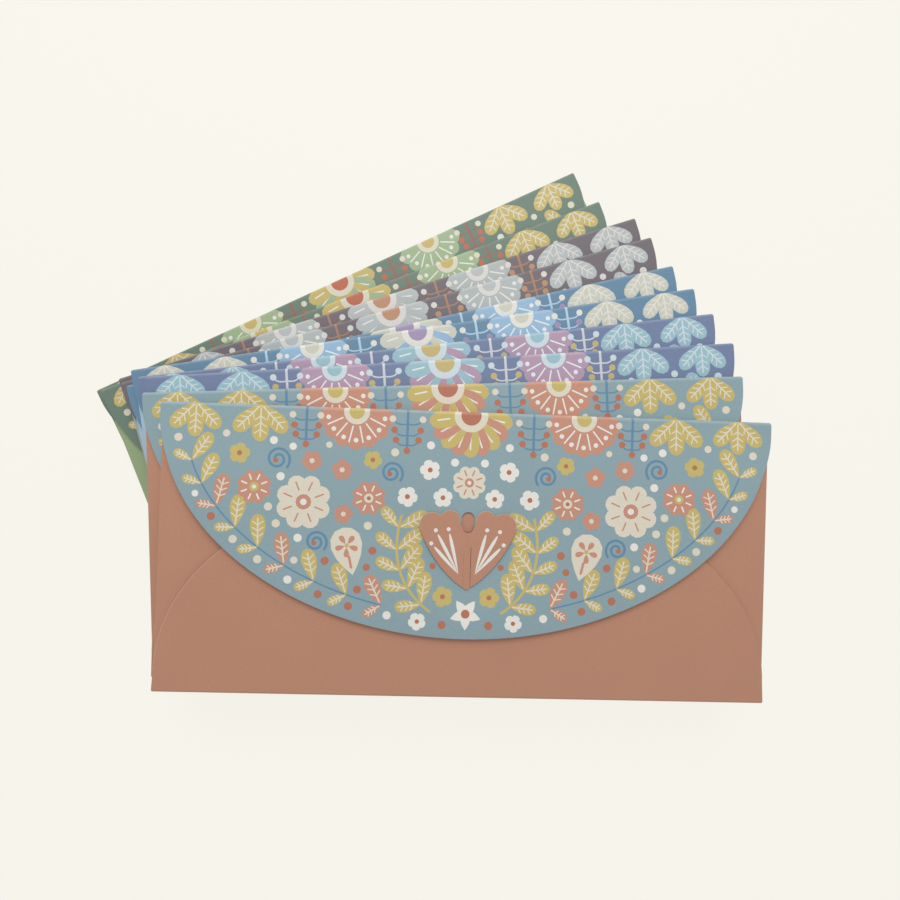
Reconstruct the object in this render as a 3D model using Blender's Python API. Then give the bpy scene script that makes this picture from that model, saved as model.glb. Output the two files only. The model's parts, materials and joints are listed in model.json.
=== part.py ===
"""A fanned set of ten card money envelopes, each shut by a two-winged clasp.

Metres, +Z up. The set lies on its back: the lowest envelope rests on z = 0, and the origin is
the middle of the whole set's footprint. X runs along the top envelope's long edge and Y towards
its folded top edge, where its closing flap is hinged. Each envelope is one card blank; its
panels are separate plates between the creases, stacked in levels one sheet and one clearance
apart: back panel, side flaps, pocket panel, closing flap and clasp wings.
"""

from math import asin, atan2, cos, hypot, pi, radians, sin

import bmesh
import bpy
from mathutils import Matrix, Vector
from mathutils.geometry import tessellate_polygon

# The envelope
ENVELOPE_WIDTH = 0.180
ENVELOPE_HEIGHT = 0.0842
CARD = 0.0003
CLEARANCE = 0.0003

# Closing flap: how far its curved edge stays above the bottom fold, and its straight sides
FLAP_TOE_HEIGHT = 0.0177
FLAP_DEPTH = ENVELOPE_HEIGHT - FLAP_TOE_HEIGHT
FLAP_SIDE = 0.0040

# Pocket panel: how far the top of its arch stays below the top fold, and its straight sides
POCKET_TOP_INSET = 0.0192
POCKET_DEPTH = ENVELOPE_HEIGHT - POCKET_TOP_INSET
POCKET_SIDE = 0.0065

# Side flaps, and the glue that holds the pocket panel to them
SIDE_FLAP_WIDTH = 0.028
SIDE_FLAP_SLANT = 0.012
GLUE_INSET = 0.0060
GLUE_FILM = 0.0001

# The clasp, cut from the pocket panel below the top of its arch, and its outline above its tip
CLASP_TOP_INSET = 0.0097
CLASP_HEIGHT = 0.0232
CLASP_TIP = POCKET_DEPTH - CLASP_TOP_INSET - CLASP_HEIGHT
CLASP_HALF_WIDTH = 0.0142
OUTER_LOBE_RADIUS = 0.0038
OUTER_LOBE_DROP = 0.0007
INNER_LOBE_RADIUS = 0.0030
INNER_LOBE_OFFSET = 0.0053
CLEFT_DEPTH = 0.0066
SPINE_WIDTH = 0.0020
SPINE_HEAD_DROP = 0.0108
SPINE_HEIGHT = CLASP_HEIGHT - SPINE_HEAD_DROP
SPINE_FOOT = 0.0034
RISER_WIDTH = 0.0014
SLOT_WIDTH = 0.0038
SLOT_FOOT = 0.0024
SLOT_HEAD_DROP = 0.0005
EDGE_CONTROL_SHARES = (0.655, 0.265)
SHOULDER_DROP_SHARE = 1 / 3

# The fan: the thumb's place from the top envelope's lower left corner, and its full spread
PIVOT_INSET = 0.0080
FAN_SPREAD = radians(27.2)

# Name, share of the spread, and how far the corner slipped as shares of the envelope's height
FAN_SHARES = (
    ("green_lower", 1.000, 0.0341, 0.1713),
    ("green_upper", 0.857, 0.0116, 0.1403),
    ("brown_lower", 0.728, 0.0435, 0.1618),
    ("brown_upper", 0.656, 0.0412, 0.1300),
    ("blue_lower", 0.544, 0.0327, 0.1012),
    ("blue_upper", 0.390, -0.0037, 0.1405),
    ("violet_lower", 0.315, 0.0077, 0.1059),
    ("violet_upper", 0.203, 0.0011, 0.0959),
    ("teal_lower", 0.1364, -0.0188, 0.0326),
    ("teal_upper", 0.000, 0.000, 0.000),
)

# Facets
FOLD_STEPS = 6
EDGE_STEPS = 28
LOBE_STEPS = 5
SLOT_STEPS = 6
SHARP_ANGLE = radians(45)

# Levels of the sheets in one envelope, counted from its back
BACK, SIDE, POCKET, FLAP, WING = range(5)
SHEET_STEP = CARD + CLEARANCE
ENVELOPE_STEP = (WING + 1) * SHEET_STEP
CLASP_CENTRE = ENVELOPE_WIDTH / 2

# Printed card colours, sRGB from 0 to 255: the closing flap's ground and the body's
COLOURS = {
    "green": ((92, 128, 118), (150, 168, 128)),
    "brown": ((112, 101, 101), (172, 176, 174)),
    "blue": ((88, 136, 170), (168, 196, 212)),
    "violet": ((106, 116, 158), (172, 180, 206)),
    "teal": ((138, 165, 170), (190, 134, 108)),
}
GLUE_COLOUR = (226, 222, 208)
CARD_ROUGHNESS = 0.62
GLUE_ROUGHNESS = 0.30


def clear_scene():
    for item in list(bpy.data.objects):
        bpy.data.objects.remove(item, do_unlink=True)


def linear(channel):
    """A 0 to 255 sRGB channel as a linear share."""
    share = channel / 255
    return share / 12.92 if share <= 0.04045 else ((share + 0.055) / 1.055) ** 2.4


def card_material(name, colour, roughness):
    material = bpy.data.materials.new(name)
    material.use_nodes = True
    shader = material.node_tree.nodes["Principled BSDF"]
    shader.inputs["Base Color"].default_value = (*map(linear, colour), 1)
    shader.inputs["Roughness"].default_value = roughness
    shader.inputs["Metallic"].default_value = 0
    return material


def level_height(level):
    """Middle of the sheet at this level, above the envelope's back."""
    return level * SHEET_STEP + CARD / 2


def fold_middle_radius(level):
    """Middle radius of the fold from the back panel's level up to this one."""
    return level * SHEET_STEP / 2


def fold_outer_radius(level):
    return fold_middle_radius(level) + CARD / 2


def arc(centre, radius, start, end, steps):
    """Points on a circle's arc, both ends included."""
    turns = [start + (end - start) * step / steps for step in range(steps + 1)]
    return [(centre[0] + radius * cos(turn), centre[1] + radius * sin(turn)) for turn in turns]


def bezier(start, control, end, steps):
    """Points on a quadratic curve, both ends included."""
    points = []
    for step in range(steps + 1):
        share = step / steps
        weights = ((1 - share) ** 2, 2 * share * (1 - share), share**2)
        weighted = list(zip(weights, (start, control, end)))
        points.append(tuple(sum(weight * point[axis] for weight, point in weighted) for axis in (0, 1)))
    return points


def half_ellipse(side, depth):
    """Curved edge from the right side to the left, rising from side to depth."""
    half = ENVELOPE_WIDTH / 2
    turns = [pi * step / EDGE_STEPS for step in range(EDGE_STEPS + 1)]
    return [(half + half * cos(turn), side + (depth - side) * sin(turn)) for turn in turns]


def pocket_outline():
    fold_line = fold_outer_radius(POCKET)
    return [(0, fold_line), (ENVELOPE_WIDTH, fold_line), *half_ellipse(POCKET_SIDE, POCKET_DEPTH)]


def flap_outline(fold_gap):
    """The closing flap, its first edge along the top fold less a gap."""
    fold_line = ENVELOPE_HEIGHT - fold_outer_radius(FLAP) - fold_gap
    curve = [(x, ENVELOPE_HEIGHT - y) for x, y in half_ellipse(FLAP_SIDE, FLAP_DEPTH)]
    return [(0, fold_line), (ENVELOPE_WIDTH, fold_line), *curve]


def slot_outline():
    """Round-ended slot in the closing flap, which the clasp wings pass through."""
    radius = SLOT_WIDTH / 2
    foot = (CLASP_CENTRE, CLASP_TIP + SLOT_FOOT + radius)
    head = (CLASP_CENTRE, CLASP_TIP + CLASP_HEIGHT - SLOT_HEAD_DROP - radius)
    return arc(foot, radius, -pi, 0, SLOT_STEPS) + arc(head, radius, 0, pi, SLOT_STEPS)


def side_flap_outline():
    """The left side flap, its first edge along the side fold."""
    fold_line = fold_outer_radius(SIDE)
    low = fold_outer_radius(POCKET) + CLEARANCE
    high = ENVELOPE_HEIGHT - fold_outer_radius(FLAP) - CLEARANCE
    inner = [(SIDE_FLAP_WIDTH, high - SIDE_FLAP_SLANT), (SIDE_FLAP_WIDTH, low + SIDE_FLAP_SLANT)]
    return [(fold_line, low), (fold_line, high), *inner]


def arch_height(x):
    """Height of the pocket panel's arched edge at this distance from the left side."""
    half = ENVELOPE_WIDTH / 2
    reach = (half - x) / half
    return POCKET_SIDE + (POCKET_DEPTH - POCKET_SIDE) * (1 - reach**2) ** 0.5


def side_flap_foot(x):
    """Height of the side flap's slanted lower edge at this distance from the left side."""
    fold_line = fold_outer_radius(SIDE)
    low = fold_outer_radius(POCKET) + CLEARANCE
    return low + SIDE_FLAP_SLANT * (x - fold_line) / (SIDE_FLAP_WIDTH - fold_line)


def glue_outline():
    """Glue seam on the left side flap, kept inside both the flap's slanted foot and the arch."""
    outer = GLUE_INSET
    inner = SIDE_FLAP_WIDTH - GLUE_INSET
    foot = [(x, side_flap_foot(x) + GLUE_INSET) for x in (outer, inner)]
    top = [(x, arch_height(x) - GLUE_INSET) for x in (inner, outer)]
    return foot + top


def mirrored(outline):
    """The same outline on the envelope's right side, still with its first edge first."""
    turned = [(ENVELOPE_WIDTH - x, y) for x, y in outline]
    return [turned[1], turned[0], *reversed(turned[2:])]


def lobe_valley(outer, inner):
    """Upper crossing of the wing's two lobe circles."""
    across = (outer[0] - inner[0], outer[1] - inner[1])
    apart = hypot(*across)
    along = (apart**2 + INNER_LOBE_RADIUS**2 - OUTER_LOBE_RADIUS**2) / (2 * apart)
    rise = (INNER_LOBE_RADIUS**2 - along**2) ** 0.5
    unit = (across[0] / apart, across[1] / apart)
    return (inner[0] + unit[0] * along - unit[1] * rise, inner[1] + unit[1] * along + unit[0] * rise)


def edge_control():
    """Control point of the curve from the clasp's tip up to its outer lobe."""
    return (CLASP_HALF_WIDTH * EDGE_CONTROL_SHARES[0], CLASP_HEIGHT * EDGE_CONTROL_SHARES[1])


def tip_height(inset):
    """Height of the clasp's pointed lower end at this distance from its centre line."""
    control = edge_control()
    return inset * control[1] / control[0]


def half_clasp(inset):
    """Right outer edge of the clasp, from near its tip up and over both lobes.

    inset is how far from the clasp's centre line the edge starts.
    """
    outer = (CLASP_HALF_WIDTH - OUTER_LOBE_RADIUS, CLASP_HEIGHT - OUTER_LOBE_DROP - OUTER_LOBE_RADIUS)
    inner = (INNER_LOBE_OFFSET, CLASP_HEIGHT - INNER_LOBE_RADIUS)
    shoulder = -asin(SHOULDER_DROP_SHARE)
    touch = (outer[0] + OUTER_LOBE_RADIUS * cos(shoulder), outer[1] + OUTER_LOBE_RADIUS * sin(shoulder))
    valley = lobe_valley(outer, inner)
    outer_end = atan2(valley[1] - outer[1], valley[0] - outer[0])
    inner_start = atan2(valley[1] - inner[1], valley[0] - inner[0])
    edge = bezier((inset, tip_height(inset)), edge_control(), touch, LOBE_STEPS)
    outer_lobe = arc(outer, OUTER_LOBE_RADIUS, shoulder, outer_end, LOBE_STEPS)[1:]
    inner_lobe = arc(inner, INNER_LOBE_RADIUS, inner_start, pi - shoulder, LOBE_STEPS)[1:]
    return [*edge, *outer_lobe, *inner_lobe]


def on_panel(outline, turn=1):
    """A clasp outline moved to its place on the panel; turn -1 mirrors it."""
    placed = [(CLASP_CENTRE + turn * x, CLASP_TIP + y) for x, y in outline]
    return placed if turn > 0 else placed[::-1]


def cleft_foot():
    """Where the two wings meet between their inner lobes."""
    return (0, CLASP_HEIGHT - CLEFT_DEPTH)


def clasp_window():
    """The opening that the raised wings leave in the pocket panel, round the spine that stays."""
    half = SPINE_WIDTH / 2
    side = half_clasp(half)
    spine_head = [(-half, SPINE_HEIGHT), (half, SPINE_HEIGHT)]
    return on_panel([*side, cleft_foot()]) + on_panel(side, -1) + on_panel(spine_head)


def whole_clasp_outline():
    side = half_clasp(0)
    return on_panel([*side, cleft_foot()]) + on_panel(side, -1)[:-1]


def wing_outline():
    """The right front wing: beside the spine, and up to the other wing above the spine's head."""
    inset = SPINE_WIDTH / 2 + CLEARANCE
    slit = CLEARANCE / 2
    foot = SPINE_HEIGHT + CLEARANCE
    return [*half_clasp(inset), (slit, cleft_foot()[1]), (slit, foot), (inset, foot)]


def spine_cap_outline():
    """The spine between the front wings, at the wings' own level, with the clasp's pointed tip."""
    half = SPINE_WIDTH / 2
    foot = [(-half, tip_height(half)), (0, 0), (half, tip_height(half))]
    return on_panel([*foot, (half, SPINE_HEIGHT), (-half, SPINE_HEIGHT)])


def riser_outline():
    """What stands in the flap's slot and carries the wings."""
    half = RISER_WIDTH / 2
    head = SPINE_HEIGHT - half
    return on_panel([(-half, SPINE_FOOT), (half, SPINE_FOOT), (half, head), (-half, head)])


def fill(bm, loops, height):
    """Triangles between an outline and its holes, at one height. Returns the outline's corners."""
    points = [point for loop in loops for point in loop]
    corners = [bm.verts.new((x, y, height)) for x, y in points]
    for triangle in tessellate_polygon([[Vector((x, y, 0)) for x, y in loop] for loop in loops]):
        face = bm.faces.new([corners[index] for index in triangle])
        face.normal_update()
        if face.normal.z < 0:
            face.normal_flip()
    return corners


def add_fold(bm, edge, outward, level):
    """Half-round fold from a sheet's first edge down to the back panel's level."""
    radius = fold_middle_radius(level)
    last = edge
    strips = []
    for step in range(1, FOLD_STEPS + 1):
        turn = pi * step / FOLD_STEPS
        shift = Vector(outward) * radius * sin(turn) - Vector((0, 0, radius * (1 - cos(turn))))
        row = [bm.verts.new(corner.co + shift) for corner in edge]
        strips.append(bm.faces.new([last[0], last[1], row[1], row[0]]))
        last = row
    return strips


def mesh_object(bm, name, parent, origin, material):
    """An object whose mesh keeps its place on the envelope, with its own origin."""
    bmesh.ops.translate(bm, verts=bm.verts, vec=-Vector(origin))
    mesh = bpy.data.meshes.new(name)
    bm.to_mesh(mesh)
    bm.free()
    mesh.materials.append(material)
    item = bpy.data.objects.new(name, mesh)
    bpy.context.scene.collection.objects.link(item)
    item.parent = parent
    item.location = origin
    return item


def thicken(item, thickness):
    sheet = item.modifiers.new("Card", "SOLIDIFY")
    sheet.thickness = thickness
    sheet.offset = 0
    sheet.use_even_offset = True


def sheet(name, parent, material, loops, level, fold=None, origin=(0, 0, 0)):
    """A flat card panel with holes, and a fold along its first edge if fold gives its way out."""
    bm = bmesh.new()
    corners = fill(bm, loops, level_height(level))
    if fold:
        add_fold(bm, corners[:2], fold, level)
    bmesh.ops.recalc_face_normals(bm, faces=bm.faces)
    item = mesh_object(bm, name, parent, origin, material)
    thicken(item, CARD)
    item.data.shade_smooth()
    item.data.set_sharp_from_angle(angle=SHARP_ANGLE)
    return item


def prism(name, parent, material, outline, low, high):
    """A flat-topped block with this outline."""
    bm = bmesh.new()
    fill(bm, [outline], low)
    made = bmesh.ops.extrude_face_region(bm, geom=bm.faces[:])
    raised = [part for part in made["geom"] if isinstance(part, bmesh.types.BMVert)]
    bmesh.ops.translate(bm, verts=raised, vec=(0, 0, high - low))
    bmesh.ops.recalc_face_normals(bm, faces=bm.faces)
    return mesh_object(bm, name, parent, (0, 0, 0), material)


def hide_tool(item):
    item.hide_render = True
    item.display_type = "WIRE"


def unite(item, tool):
    join = item.modifiers.new("Join " + tool.name, "BOOLEAN")
    join.operation = "UNION"
    join.object = tool
    hide_tool(tool)


def add_back_panel(prefix, parent, material):
    side = fold_outer_radius(SIDE) + CLEARANCE
    low = fold_outer_radius(POCKET) + CLEARANCE
    high = ENVELOPE_HEIGHT - fold_outer_radius(FLAP) - CLEARANCE
    right = ENVELOPE_WIDTH - side
    outline = [(side, low), (right, low), (right, high), (side, high)]
    return sheet(prefix + "_back_panel", parent, material, [outline], BACK)


def add_side_flaps(prefix, parent, material):
    outline = side_flap_outline()
    sheet(prefix + "_side_flap_left", parent, material, [outline], SIDE, (-1, 0, 0))
    sheet(prefix + "_side_flap_right", parent, material, [mirrored(outline)], SIDE, (1, 0, 0))


def add_pocket_panel(prefix, parent, material, wing_plate):
    """Pocket panel with the spine standing up to the wings' level, and wing_plate on top of it."""
    loops = [pocket_outline(), clasp_window()]
    panel = sheet(prefix + "_pocket_panel", parent, material, loops, POCKET, (0, -1, 0))
    riser = prism(
        prefix + "_riser_tool", parent, material, riser_outline(), level_height(POCKET), level_height(WING)
    )
    low = level_height(WING) - CARD / 2
    plate = prism(prefix + "_plate_tool", parent, material, wing_plate, low, low + CARD)
    unite(panel, riser)
    unite(panel, plate)
    return panel


def add_lower_envelope(name, parent, flap_card, body_card):
    add_back_panel(name, parent, body_card)
    add_side_flaps(name, parent, body_card)
    add_pocket_panel(name, parent, body_card, whole_clasp_outline())
    sheet(name + "_closing_flap", parent, flap_card, [flap_outline(0), slot_outline()], FLAP, (0, 1, 0))


def add_glue(name, parent, material, outline):
    middle = (level_height(SIDE) + level_height(POCKET)) / 2
    prism(name, parent, material, outline, middle - GLUE_FILM / 2, middle + GLUE_FILM / 2)


def add_top_fold(name, parent, material):
    """The crease band alone: the flap turns about the axis that it is rolled round."""
    axis_y = ENVELOPE_HEIGHT - fold_outer_radius(FLAP)
    bm = bmesh.new()
    top = level_height(FLAP)
    edge = [bm.verts.new((0, axis_y, top)), bm.verts.new((ENVELOPE_WIDTH, axis_y, top))]
    add_fold(bm, edge, (0, 1, 0), FLAP)
    bmesh.ops.recalc_face_normals(bm, faces=bm.faces)
    band = mesh_object(bm, name, parent, (0, 0, 0), material)
    thicken(band, CARD)
    band.data.shade_smooth()


def add_wing(name, parent, material, turn):
    """One front wing, its origin on the crease beside the spine."""
    outline = on_panel(wing_outline(), turn)
    crease = (CLASP_CENTRE + turn * SPINE_WIDTH / 2, CLASP_TIP, level_height(WING))
    sheet(name, parent, material, [outline], WING, origin=crease)


def add_top_envelope(name, parent, flap_card, body_card, glue):
    """The uppermost envelope, whose closing flap and clasp wings are free to move."""
    add_back_panel(name, parent, body_card)
    add_side_flaps(name, parent, body_card)
    add_pocket_panel(name, parent, body_card, spine_cap_outline())
    outline = glue_outline()
    add_glue(name + "_glue_left", parent, glue, outline)
    add_glue(name + "_glue_right", parent, glue, mirrored(outline))
    add_top_fold(name + "_top_fold", parent, flap_card)
    hinge = (0, ENVELOPE_HEIGHT - fold_outer_radius(FLAP), fold_middle_radius(FLAP) + CARD / 2)
    loops = [flap_outline(CLEARANCE), slot_outline()]
    sheet(name + "_closing_flap", parent, flap_card, loops, FLAP, origin=hinge)
    add_wing(name + "_clasp_wing_left", parent, body_card, -1)
    add_wing(name + "_clasp_wing_right", parent, body_card, 1)


def corner_offset(angle, slip):
    """An envelope's lower left corner as seen from the fan's axis, in its own turned frame."""
    return Matrix.Rotation(-angle, 2) @ (Vector(slip) - Vector((PIVOT_INSET, PIVOT_INSET)))


def fan_places():
    """(name, angle, corner offset) of each envelope, from the lowest up."""
    for name, share, slip_x, slip_y in FAN_SHARES:
        angle = FAN_SPREAD * share
        slip = (slip_x * ENVELOPE_HEIGHT, slip_y * ENVELOPE_HEIGHT)
        yield name, angle, corner_offset(angle, slip)


def footprint_middle():
    """Middle of the set's footprint, seen from the fan's axis."""
    reached = []
    for _, angle, offset in fan_places():
        for x in (0, ENVELOPE_WIDTH):
            for y in (0, ENVELOPE_HEIGHT):
                reached.append(Matrix.Rotation(angle, 2) @ (offset + Vector((x, y))))
    middles = [(min(p[axis] for p in reached) + max(p[axis] for p in reached)) / 2 for axis in (0, 1)]
    return Vector(middles)


def add_fan_axis(name, place, angle):
    axis = bpy.data.objects.new(name + "_fan_axis", None)
    bpy.context.scene.collection.objects.link(axis)
    axis.location = place
    axis.rotation_euler = (0, 0, angle)
    return axis


def add_corner(name, axis, offset):
    corner = bpy.data.objects.new(name + "_corner", None)
    bpy.context.scene.collection.objects.link(corner)
    corner.parent = axis
    corner.location = (*offset, 0)
    return corner


def build():
    clear_scene()
    middle = footprint_middle()
    glue = card_material("glue", GLUE_COLOUR, GLUE_ROUGHNESS)
    for number, (name, angle, offset) in enumerate(fan_places()):
        ground, body = COLOURS[name.split("_")[0]]
        flap_card = card_material(name + "_flap_card", ground, CARD_ROUGHNESS)
        body_card = card_material(name + "_body_card", body, CARD_ROUGHNESS)
        axis = add_fan_axis(name, (-middle.x, -middle.y, number * ENVELOPE_STEP), angle)
        corner = add_corner(name, axis, offset)
        if number < len(FAN_SHARES) - 1:
            add_lower_envelope(name, corner, flap_card, body_card)
        else:
            add_top_envelope(name, corner, flap_card, body_card, glue)


build()
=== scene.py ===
"""Looks of the fanned card money envelopes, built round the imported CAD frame.

Each envelope is one folded card blank. Its skins are cut flat, in the blank's own plane, so that
the print's motifs are faces of the sheet itself, and are then folded to the CAD panels' levels.
Metres, +Z up. An envelope's own frame has its origin at the lower left corner of its back, as seen
from the front, with x across, y up to the top fold and z up through the layers.
"""

import json
from collections import namedtuple
from functools import partial
from math import asin, atan2, ceil, cos, hypot, pi, radians, sin

import bpy
import numpy as np
from mathutils import Matrix, Vector
from mathutils.geometry import delaunay_2d_cdt

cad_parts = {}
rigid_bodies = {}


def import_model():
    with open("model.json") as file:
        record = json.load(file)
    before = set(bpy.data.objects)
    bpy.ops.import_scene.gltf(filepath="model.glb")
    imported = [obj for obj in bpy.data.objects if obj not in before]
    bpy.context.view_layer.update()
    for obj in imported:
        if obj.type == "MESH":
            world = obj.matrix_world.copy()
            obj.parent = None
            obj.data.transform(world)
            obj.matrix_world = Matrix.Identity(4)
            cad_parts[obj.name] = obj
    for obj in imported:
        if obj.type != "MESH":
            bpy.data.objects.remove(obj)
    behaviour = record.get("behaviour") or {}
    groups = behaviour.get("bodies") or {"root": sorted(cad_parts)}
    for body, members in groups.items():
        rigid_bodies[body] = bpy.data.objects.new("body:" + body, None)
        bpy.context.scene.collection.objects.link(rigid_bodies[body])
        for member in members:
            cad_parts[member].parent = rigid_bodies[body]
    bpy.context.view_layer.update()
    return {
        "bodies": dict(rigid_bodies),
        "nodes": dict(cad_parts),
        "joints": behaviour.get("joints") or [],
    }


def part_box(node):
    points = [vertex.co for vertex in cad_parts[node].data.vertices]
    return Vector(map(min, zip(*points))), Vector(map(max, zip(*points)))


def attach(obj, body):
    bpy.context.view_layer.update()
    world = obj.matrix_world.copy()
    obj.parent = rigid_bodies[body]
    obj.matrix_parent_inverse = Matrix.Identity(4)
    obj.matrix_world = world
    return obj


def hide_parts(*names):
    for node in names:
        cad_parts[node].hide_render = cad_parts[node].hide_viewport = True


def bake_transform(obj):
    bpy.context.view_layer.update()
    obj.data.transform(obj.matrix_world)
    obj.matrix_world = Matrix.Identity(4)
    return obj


# Card blank, as the CAD has it: straight sides of flap and pocket, and the side flaps
FLAP_SIDE = 0.0040
POCKET_SIDE = 0.0065
POCKET_TOP_INSET = 0.0192
POCKET_TAPER = 0.0003
SIDE_FLAP_WIDTH = 0.028
SIDE_FLAP_SLANT = 0.012
PANEL_GAP = 0.0003
CORNER_RADIUS = 0.0008
BODY_PANELS = ("back_panel", "side_flap_left", "side_flap_right", "pocket_panel")

# How far the closing flap's curve stays inside the CAD's: at its sides, between, and at its toe
FLAP_TAPER = 0.0009
FLAP_TAPER_SHARE = 0.25
FLAP_HOLLOW = 0.0004
FLAP_TRIM = 0.00025

# Clasp, as the CAD has it, above its tip and out from its middle line
CLASP_TOP_INSET = 0.0097
CLASP_HEIGHT = 0.0232
CLASP_HALF_WIDTH = 0.0142
OUTER_LOBE_RADIUS = 0.0038
OUTER_LOBE_DROP = 0.0007
INNER_LOBE_RADIUS = 0.0030
INNER_LOBE_OFFSET = 0.0053
CLEFT_DEPTH = 0.0066
SPINE_WIDTH = 0.0020
SPINE_HEAD_DROP = 0.0108
SPINE_HEIGHT = CLASP_HEIGHT - SPINE_HEAD_DROP
SPINE_FOOT = 0.0034
RISER_WIDTH = 0.0014
SLOT_WIDTH = 0.0038
SLOT_FOOT = 0.0024
SLOT_HEAD_DROP = 0.0005
EDGE_CONTROL_SHARES = (0.655, 0.265)
SHOULDER_DROP_SHARE = 1 / 3

# Gentle relief of the sheets: the flap's lifted edge, the pocket's belly and the wings' curl
FRONT_FLAP_LIFT = 0.0010
REAR_FLAP_LIFT = 0.00035
LIFT_START_SHARE = 0.50
FOLD_HOLD = 0.022
CLASP_HOLD = 0.0145
FRONT_BELLY = 0.0003
REAR_BELLY = 0.0001
BELLY_RISE = 0.024
FRONT_RIM_LIFT = 0.0005
RIM_START_SHARE = 0.86
RIM_PEAK = 0.010
RIM_END = 0.024
FRONT_WING_CURL = 0.0005
REAR_WING_CURL = 0.00012

# Cuts in and beside the clasp, and half the width of the painted highlight strip on edges that catch the
# light
LEFT_CREASE_GAP = 0.00003
RIGHT_CREASE_GAP = 0.00013
WING_SLIT = 0.00001
CLEFT_RADIUS = 0.0016
EDGE_HIGHLIGHT_HALF_WIDTH = 0.00016

# Meshing
FOLD_STEPS = 10
EDGE_STEPS = 96
LOBE_STEPS = 14
SLOT_STEPS = 12
CLEFT_STEPS = 6
GUIDE_SPACING = 0.0060
MERGE = 0.000001
SLOPE_STEP = 0.00001
BOX_SIDES = ((3, 2, 1, 0), (4, 5, 6, 7), (0, 1, 5, 4), (1, 2, 6, 5), (2, 3, 7, 6), (3, 0, 4, 7))

# Print: stroke widths and facets
FINEST_LINE = 0.00036
FINE_LINE = 0.00045
STEM_LINE = 0.00075
CURVE_STEPS = 14
DOT_STEPS = 12
CAP_STEPS = 4
BRANCH_STEPS = 5
STEPS_PER_DROP = 4

# Print: each motif's size and place, across from the flap's middle line and down from its fold
SUNBURSTS = ((0, 0, 0.0125),)
FANS = ((0.0335, 0, 0.0112),)
ROSETTES = (
    (0.0480, 0.0268, 0.0080, "pale", "petal"),
    (0.0622, 0.0228, 0.0050, "petal", "leaf"),
    (0.0292, 0.0252, 0.0050, "petal", "pale"),
)
MIDDLE_ROSETTES = ((0, 0.0198, 0.0050, "pale", "petal"),)
SPIRALS = ((0.0558, 0.0146, 0.0036), (0.0228, 0.0176, 0.0034), (0.0440, 0.0382, 0.0033))
SPRIGS = ((0.0186, -0.0010, 0.0120), (0.0480, -0.0010, 0.0110))
TUFTS = ((0.0612, -0.0010, 0.0108), (0.0798, -0.0010, 0.0100))
TUFT_BEARINGS = (radians(46), radians(90), radians(134))
PAISLEYS = ((0.0330, 0.0475),)
PAISLEY_LENGTH = 0.0140
PAISLEY_WIDTH = 0.0092
PAISLEY_BEARING = radians(-76)
STARS = ((0, 0.0580, 0.0046),)
BERRY_RADIUS = 0.0010
DROP_LENGTH = 0.0096
DROP_WIDTH = 0.0045
GARLAND_INSET = 0.0066
GARLAND_ENDS = (radians(14), radians(73))
GARLAND_DROPS = 9
GARLAND_LEANS = (radians(-46), radians(218))
GARLAND_INKS = ("leaf", "leaf", "petal")
SPRAY_ROOT = (0.0105, 0.0575)
SPRAY_BEND = (0.0240, 0.0480)
SPRAY_TIP = (0.0195, 0.0300)
SPRAY_DROPS = 5
SPRAY_LEAN = radians(52)
WING_RAYS = ((radians(76), 0.0122), (radians(61), 0.0132), (radians(47), 0.0108))
WING_RAY_ROOT = (0.0024, 0.0046)
WING_RAY_WIDTH = 0.0010
WING_DOT_RADIUS = 0.0006

# Print: proportions inside the motifs, as shares of each motif's own size
DROP_RIB_SHARES = (0.10, 0.50, 0.86)
DROP_VEIN_SHARES = (0.30, 0.48, 0.66)
DROP_VEIN_PATH_SHARES = ((0, 0), (0.13, 0.16), (0.24, 0.33))
DROP_FULLNESS_SHARE = 0.77
GARLAND_DROP_SHARES = (0.62, 1.0)
SPRAY_DROP_SHARES = (0.80, 1.0)
SUNBURST_RAYS = 9
RAY_WIDTH_SHARE = 1.25
RAY_RIB_SHARES = (0.52, 0.80)
SUNBURST_RING_SHARES = (("pale", 0.40), ("berry", 0.24))
FAN_LOBES = 7
FAN_LOBE_SHARE = 1.12
FAN_RIB_SHARES = (0.40, 0.82)
FAN_DOT_SHARE = 0.25
FAN_RING_SHARES = (("pale", 0.34), ("leaf", 0.20))
ROSETTE_PETALS = 8
PETAL_WIDTH_SHARE = 0.86
ROSETTE_RIB_SHARES = (0.46, 0.76)
HEART_SHARE = 0.28
EYE_SHARE = 0.12
SPIRAL_TURNS = 1.7
SPIRAL_CLOSING_SHARE = 0.80
SPIRAL_START = radians(140)
SPRIG_BRANCH_SHARES = (0.35, 0.62, 0.86)
SPRIG_REACH_SHARES = (0.43, 0.18)
SPRIG_RISE_SHARE = 0.12
SPRIG_SAG_SHARE = 0.06
SPRIG_BEND_SHARE = 0.75
STAR_PETALS = 5
STAR_PETAL_SHARE = 0.62
BLOSSOM_PETAL_SHARE = 0.90
BLOSSOM_HEART_SHARE = 0.25
PAISLEY_FLOWER_SHARE = 0.62
PAISLEY_PETAL_SHARES = (0.30, 0.17)
PAISLEY_HEART_SHARE = 0.07
PAISLEY_STEM_SHARES = (0.16, 0.28, 0.38)

# Print: dots and blossoms in the room that is left
FILL_SPACING = 0.0008
FILL_EDGE = 0.0036
FILL_FOLD = 0.0012
FILL_GAP = 0.0010
FILL_LEAST = 0.0019
FILL_PITCH = 0.0018
BLOSSOM_LEAST = 0.0033
BLOSSOM_MOST = 0.0030
DOT_MOST = 0.0012
BLOSSOM_INKS = ("white", "petal", "leaf")
DOT_INKS = ("pale", "white", "berry")

# Ink roles, in slot order, then the unprinted core
INKS = ("ground", "petal", "leaf", "pale", "line", "white", "berry")

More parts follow.
